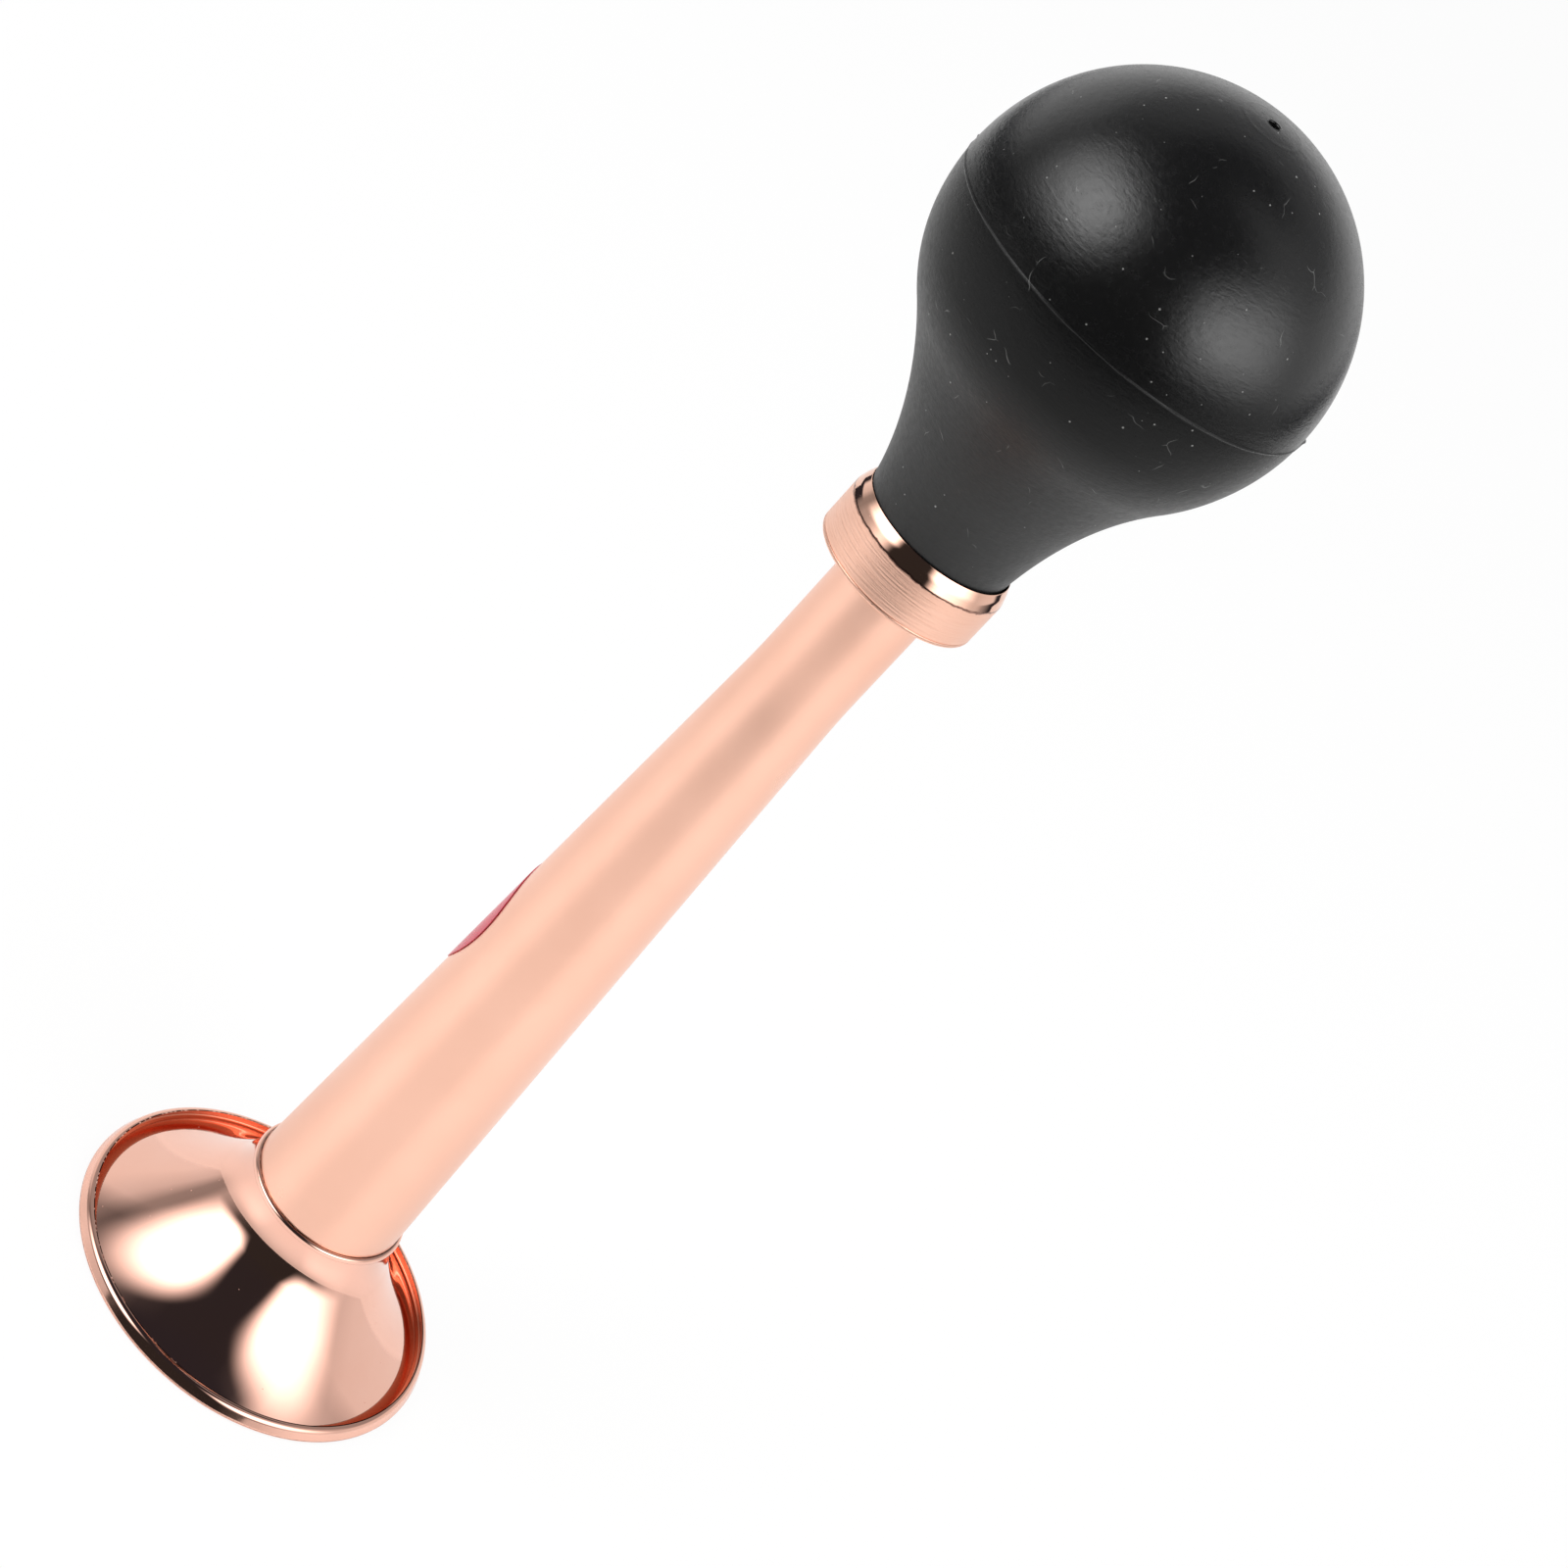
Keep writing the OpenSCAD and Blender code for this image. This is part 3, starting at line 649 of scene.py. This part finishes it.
def bulb_profile():
    """Hollow bulb: a ball on a hollow-curved neck, with a vent hole in its crown."""
    ball_mid, edge = np.array((0.0, BALL_Z)), np.array((BULB_NECK_R, COLLAR_TOP))
    to_edge = edge - ball_mid
    far = np.linalg.norm(to_edge)
    reach = BALL_R + NECK_CURVE_R
    along = (far ** 2 + reach ** 2 - NECK_CURVE_R ** 2) / (2 * far)
    aside = math.sqrt(reach ** 2 - along ** 2)
    u = to_edge / far
    curve_mid = ball_mid + u * along + np.array((-u[1], u[0])) * aside
    edge_turn, ball_turn = heading(curve_mid, edge) % math.tau, heading(ball_mid, curve_mid)
    meet_turn = (ball_turn + math.pi) % math.tau
    neck = arc(curve_mid, NECK_CURVE_R, edge_turn, meet_turn, steps=60)
    vent_turn = math.acos((VENT_R + VENT_ROUND) / BALL_R)
    turns = np.concatenate([
        np.linspace(ball_turn, -RIDGE_TURN, 44)[:-1],
        np.linspace(-RIDGE_TURN, RIDGE_TURN, 25)[:-1],
        np.linspace(RIDGE_TURN, CROWN_TURN, 64)[:-1],
        np.linspace(CROWN_TURN, vent_turn, 34)])
    crown = BALL_Z + math.sqrt(BALL_R ** 2 - VENT_R ** 2)
    lip_mid = (VENT_R + VENT_ROUND, crown - VENT_ROUND)
    vent_lip = arc(lip_mid, VENT_ROUND, math.pi / 2, math.pi, steps=6)
    shell_r = BALL_R - BULB_WALL
    shell = arc(ball_mid, shell_r, math.acos(VENT_R / shell_r), ball_turn, steps=32)
    neck_in = arc(curve_mid, NECK_CURVE_R + BULB_WALL, meet_turn, edge_turn, steps=16)
    bore_r = BULB_NECK_R - BULB_WALL
    return outline([
        (BULB_FOOT_R, BULB_FOOT_Z, 0.1),
        (BULB_FOOT_R, BULB_FOOT_TOP, 0.1),
        (BULB_NECK_R, BULB_NECK_FROM, 0.3),
        *[tuple(p) for p in neck[:-1]],
        *[on_ball(t) for t in turns],
        *[tuple(p) for p in vent_lip + shell[:-1] + neck_in],
        (bore_r, BULB_BORE_TOP, 0.3),
        (bore_r, BULB_FOOT_Z, 0.1),
    ])


def make_bulb(finish):
    """Moulded bulb with its vent off the middle, flash on its parting ridge and a slight lean."""
    piece = turned("bulb_moulded", bulb_profile(), finish, facets=256)
    co = points_of(piece) / MM
    # The vent and the mould ring lie in front of the crown's middle, to the left
    x, y, z = co.T
    from_mid = np.linalg.norm(co - (0, 0, BALL_Z), axis=1)
    past_ring = (np.hypot(x, y) - VENT_SHIFT_R) / VENT_SHIFT_W
    shift = np.where(z > BALL_Z, 1 - smooth_step(past_ring), 0)
    x, y = x + shift * VENT_AT[0], y + shift * VENT_AT[1]
    z = np.where(shift > 0, BALL_Z + np.sqrt(np.maximum(from_mid ** 2 - x ** 2 - y ** 2, 0)), z)
    # Flash left where the two halves of the mould met stands out at the sides, and the ridge is uneven
    turn = np.arctan2(y, x)
    on_ridge = np.exp(-((z - BALL_Z) / UNEVEN_UP) ** 2) * (np.hypot(x, y) > BALL_R)
    out = WEAR_H * np.exp(-((turn - WEAR_AT) / WEAR_W) ** 2)
    for high, waves, start in RIDGE_WAVES:
        out = out + high * np.sin(waves * turn + start)
    for at in FLASH_AT:
        from_flash = (turn - at + math.pi) % math.tau - math.pi
        out = out + FLASH_H * np.exp(-(from_flash / FLASH_W) ** 2)
    grow = 1 + on_ridge * out / BALL_R
    x, y = x * grow, y * grow
    x = x + BULB_SWAY * smooth_step((z - SWAY_FROM_Z) / (SWAY_TO_Z - SWAY_FROM_Z))
    move_points(piece, np.stack([x, y, z], axis=1) * MM)
    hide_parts("rubber_bulb")
    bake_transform(piece)


def make_label(finish):
    """Round sticker laid on the taper. Its near edge has lifted, as a flat disc's does on a cone."""
    rings, spokes = 22, 120
    top, bottom = [], []
    slope = (TUBE_TOP_R - TUBE_FOOT_R) / (TAPER_Z - BELL_H)
    lay_r = TUBE_FOOT_R + slope * (LABEL_Z - BELL_H)
    for i in range(rings + 1):
        for k in range(spokes):
            a = math.tau * k / spokes
            across, up = LABEL_R * i / rings * math.cos(a), LABEL_R * i / rings * math.sin(a)
            z = LABEL_Z + up
            turn = LABEL_TURN + across / lay_r
            edge = float(smooth_step((math.hypot(across, up) / LABEL_R - LIFT_FROM) / (1 - LIFT_FROM)))
            lift = LABEL_LIFT * edge * max(0.0, math.cos(a - LIFT_TURN)) ** 3
            for side, face in ((top, LABEL_T), (bottom, 0.0)):
                r = TUBE_FOOT_R + slope * (z - BELL_H) + LABEL_OFF + lift + face
                side.append((r * math.cos(turn) * MM, r * math.sin(turn) * MM, z * MM))
    faces = []
    n = (rings + 1) * spokes
    for i in range(rings):
        for k in range(spokes):
            near, next_k = i * spokes, (k + 1) % spokes
            far = near + spokes
            a, b, c, d = near + k, far + k, far + next_k, near + next_k
            faces += [(a, b, c, d), (n + d, n + c, n + b, n + a)]
    for k in range(spokes):
        a, b = rings * spokes + k, rings * spokes + (k + 1) % spokes
        faces.append((a, n + a, n + b, b))
    piece = from_faces("label_blank", top + bottom, faces, finish)
    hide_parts("label")
    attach(piece, "horn")


def make_tongue(finish):
    """Brass tongue: its root stays clamped in the block, and its free end stands a little open."""
    up = np.concatenate([[-TONGUE_ROOT], np.linspace(0, TONGUE_FREE, 25)])
    face = TONGUE_Y + TONGUE_OPEN * np.maximum(up, 0) / TONGUE_FREE
    corners = ((-0.5, 0), (0.5, 0), (0.5, 1), (-0.5, 1))
    points = [(across * TONGUE_W * MM, (y + back * TONGUE_T) * MM, (BLOCK_TOP + z) * MM)
              for y, z in zip(face, up) for across, back in corners]
    last = len(points) - 4
    faces = [(0, 1, 2, 3), (last, last + 1, last + 2, last + 3)]
    for row in range(0, last, 4):
        faces += [(row + k, row + (k + 1) % 4, row + 4 + (k + 1) % 4, row + 4 + k) for k in range(4)]
    piece = from_faces("tongue_rolled", points, faces, finish)
    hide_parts("reed_tongue")
    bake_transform(piece)


def dress_reed(brass):
    """The reed's still pieces keep their CAD shapes and get their real materials."""
    finishes = {"reed_block": moulded_plastic(), "reed_wedge": plain_hardwood(), "shallot": brass}
    for node, finish in finishes.items():
        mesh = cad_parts[node].data
        mesh.materials.clear()
        mesh.materials.append(finish)


# Studio

def softbox(name, at, width, height, radiance, fades):
    """A rectangular lamp that faces the horn's middle and dims towards its edges.

    Each fade, for its left, right, bottom and top, is the shares of its size between which it dims.
    """
    lamp = bpy.data.lights.new(name, "AREA")
    lamp.shape = "RECTANGLE"
    lamp.size, lamp.size_y = width, height
    lamp.energy = radiance * math.pi * width * height
    lamp.use_nodes = True
    tree = lamp.node_tree
    on_lamp = add(tree, "ShaderNodeNewGeometry").outputs["Parametric"]
    place = add(tree, "ShaderNodeSeparateXYZ", {0: on_lamp})
    level = None
    for (axis, edge), (out, full) in zip((("X", 0), ("X", 1), ("Y", 0), ("Y", 1)), fades):
        dim = add(tree, "ShaderNodeMapRange", {
            "Value": place.outputs[axis], "From Min": abs(edge - out), "From Max": abs(edge - full)},
            interpolation_type="SMOOTHSTEP").outputs[0]
        if level:
            dim = add(tree, "ShaderNodeMath", {0: level, 1: dim}, operation="MULTIPLY").outputs[0]
        level = dim
    fill(tree, tree.nodes["Emission"], {"Strength": level})
    box = bpy.data.objects.new(name, lamp)
    box.location = at
    box.rotation_mode = "QUATERNION"
    box.rotation_quaternion = (LAMPS_AIM - box.location).to_track_quat("-Z", "Y")
    box.visible_camera = False
    bpy.context.scene.collection.objects.link(box)
    return box


def backdrop():
    """A plain white backdrop to the camera and in mirrors. The walls and softboxes give the light."""
    world = bpy.data.worlds.new("white_backdrop")
    bpy.context.scene.world = world
    world.use_nodes = True
    tree = world.node_tree
    ray = add(tree, "ShaderNodeLightPath")
    mirrored = add(tree, "ShaderNodeMath", {
        0: ray.outputs["Is Glossy Ray"], 1: ray.outputs["Is Transmission Ray"]}, operation="MAXIMUM")
    seen = add(tree, "ShaderNodeMath", {
        0: ray.outputs["Is Camera Ray"], 1: mirrored.outputs[0]}, operation="MAXIMUM")
    fill(tree, tree.nodes["Background"], {"Color": WHITE, "Strength": seen.outputs[0]})


def round_room(stops):
    """Ramp stops from stops in degrees round the room."""
    return [((degrees + 180) / 360, level) for degrees, level in stops]


def studio_walls():
    """The room that copper and rubber mirror: pale walls with a dark front and a dark ceiling."""
    form = bmesh.new()
    bmesh.ops.create_icosphere(form, subdivisions=2, radius=ROOM_R)
    mesh = bpy.data.meshes.new("studio_room")
    form.to_mesh(mesh)
    form.free()
    made, tree, shader, place = material("painted_studio_walls")
    tree.nodes.remove(shader)
    away = add(tree, "ShaderNodeVectorMath", {0: place}, operation="NORMALIZE")
    way = add(tree, "ShaderNodeSeparateXYZ", {0: away.outputs[0]})
    front = add(tree, "ShaderNodeMath", {0: way.outputs["Y"], 1: -1.0}, operation="MULTIPLY")
    azimuth = add(tree, "ShaderNodeMath", {0: way.outputs["X"], 1: front.outputs[0]}, operation="ARCTAN2")
    bearing = add(tree, "ShaderNodeMapRange", {
        "Value": azimuth.outputs[0], "From Min": -math.pi, "From Max": math.pi})
    walls = add(tree, "ShaderNodeValToRGB", {"Fac": bearing.outputs[0]})
    grey_stops(walls.color_ramp, round_room(WALLS))
    height = add(tree, "ShaderNodeMapRange", {"Value": way.outputs["Z"], "From Min": -1.0, "From Max": 1.0})
    ceiling = add(tree, "ShaderNodeValToRGB", {"Fac": height.outputs[0]})
    grey_stops(ceiling.color_ramp, CEILING)
    # A white card stands beside the right softbox, so the wall is lighter above it
    card = add(tree, "ShaderNodeValToRGB", {"Fac": bearing.outputs[0]})
    grey_stops(card.color_ramp, round_room(CARD))
    dark = add(tree, "ShaderNodeMath", {0: ceiling.outputs[0], 1: card.outputs[0]}, operation="MULTIPLY")
    room = add(tree, "ShaderNodeMix", {
        "Factor": dark.outputs[0], "A": walls.outputs["Color"], "B": DARK_ROOM}, data_type="RGBA")
    light = add(tree, "ShaderNodeEmission", {"Color": room.outputs["Result"]})
    fill(tree, tree.nodes["Material Output"], {"Surface": light.outputs[0]})
    mesh.materials.append(made)
    shell = bpy.data.objects.new("studio_room", mesh)
    shell.visible_camera = shell.visible_transmission = False
    bpy.context.scene.collection.objects.link(shell)


def floor():
    """A glossy white table: plain white to the camera, but for a soft shadow under the bell."""
    mesh = bpy.data.meshes.new("table_top")
    corners = [(-TABLE_SIDE, TABLE_FRONT, 0), (TABLE_SIDE, TABLE_FRONT, 0),
               (TABLE_SIDE, TABLE_BACK, 0), (-TABLE_SIDE, TABLE_BACK, 0)]
    mesh.from_pydata(corners, [], [(0, 1, 2, 3)])
    made, tree, shader, _ = material("white_acrylic_table")
    fill(tree, shader, {"Base Color": linear("#F2F2F1"), "Roughness": 0.14, "Specular IOR Level": 0.34})
    glow = add(tree, "ShaderNodeEmission", {"Color": WHITE, "Strength": 1.0})
    ray = add(tree, "ShaderNodeLightPath")
    seen = add(tree, "ShaderNodeMath", {
        0: ray.outputs["Is Camera Ray"], 1: ray.outputs["Is Transmission Ray"]}, operation="MAXIMUM")
    share = add(tree, "ShaderNodeMath", {0: seen.outputs[0], 1: TABLE_WHITE}, operation="MULTIPLY")
    # Copper shows the white table too, with the softboxes' soft glow on it
    share = add(tree, "ShaderNodeMath", {
        0: ray.outputs["Is Glossy Ray"], 1: TABLE_WHITE_IN_COPPER, 2: share.outputs[0]},
        operation="MULTIPLY_ADD")
    mixed = add(tree, "ShaderNodeMixShader", {
        0: share.outputs[0], 1: shader.outputs[0], 2: glow.outputs[0]})
    fill(tree, tree.nodes["Material Output"], {"Surface": mixed.outputs[0]})
    mesh.materials.append(made)
    table = bpy.data.objects.new("table_top", mesh)
    bpy.context.scene.collection.objects.link(table)


def camera():
    """The photograph's camera, which was turned so that the horn lies across the picture."""
    right = Vector((1, 0, 0))
    ahead = Vector((0, math.cos(CAMERA_TILT), -math.sin(CAMERA_TILT)))
    ahead = (ahead + right * (CAMERA_ASIDE_PX / CAMERA_LENS_PX)).normalized()
    right = (right - ahead * right.dot(ahead)).normalized()
    up = right.cross(ahead)
    c, s = math.cos(CAMERA_ROLL), math.sin(CAMERA_ROLL)
    across, upright = right * c + up * s, up * c - right * s
    data = bpy.data.cameras.new("camera")
    data.sensor_width = SENSOR_MM
    data.lens = CAMERA_LENS_PX / PHOTO_PX * data.sensor_width
    data.clip_start, data.clip_end = 0.01, 50.0
    eye = bpy.data.objects.new("camera", data)
    eye.matrix_world = Matrix((
        (across.x, upright.x, -ahead.x, CAMERA_AT.x),
        (across.y, upright.y, -ahead.y, CAMERA_AT.y),
        (across.z, upright.z, -ahead.z, CAMERA_AT.z),
        (0, 0, 0, 1)))
    bpy.context.scene.collection.objects.link(eye)
    bpy.context.scene.camera = eye


make_bell(polished_copper())
make_tube(satin_copper())
make_collar(brushed_copper())
make_bulb(moulded_rubber())
make_label(blank_vinyl())
reed_brass = rolled_brass()
make_tongue(reed_brass)
dress_reed(reed_brass)

softbox("softbox_left", at=(-1.318, -0.716, 0.94), width=2.5, height=1.75, radiance=6.0,
        fades=((0, 0.7), (0, 0.4), (0, 0.5), (0, 0.45)))
softbox("softbox_right", at=(0.811, -0.39, 0.55), width=1.5, height=1.2, radiance=4.0,
        fades=((0, 0.33), (0, 0.7), (0, 0.5), (0, 0.45)))
# Lights the table and the rubber from above, and is not mirrored in the copper
top_light = softbox("softbox_top", at=(0, 0.3, 2.2), width=2.4, height=2.4, radiance=2.6,
                    fades=((0, 0.2),) * 4)
top_light.visible_glossy = False
backdrop()
studio_walls()
floor()
camera()
bpy.context.scene.view_settings.view_transform = "Standard"
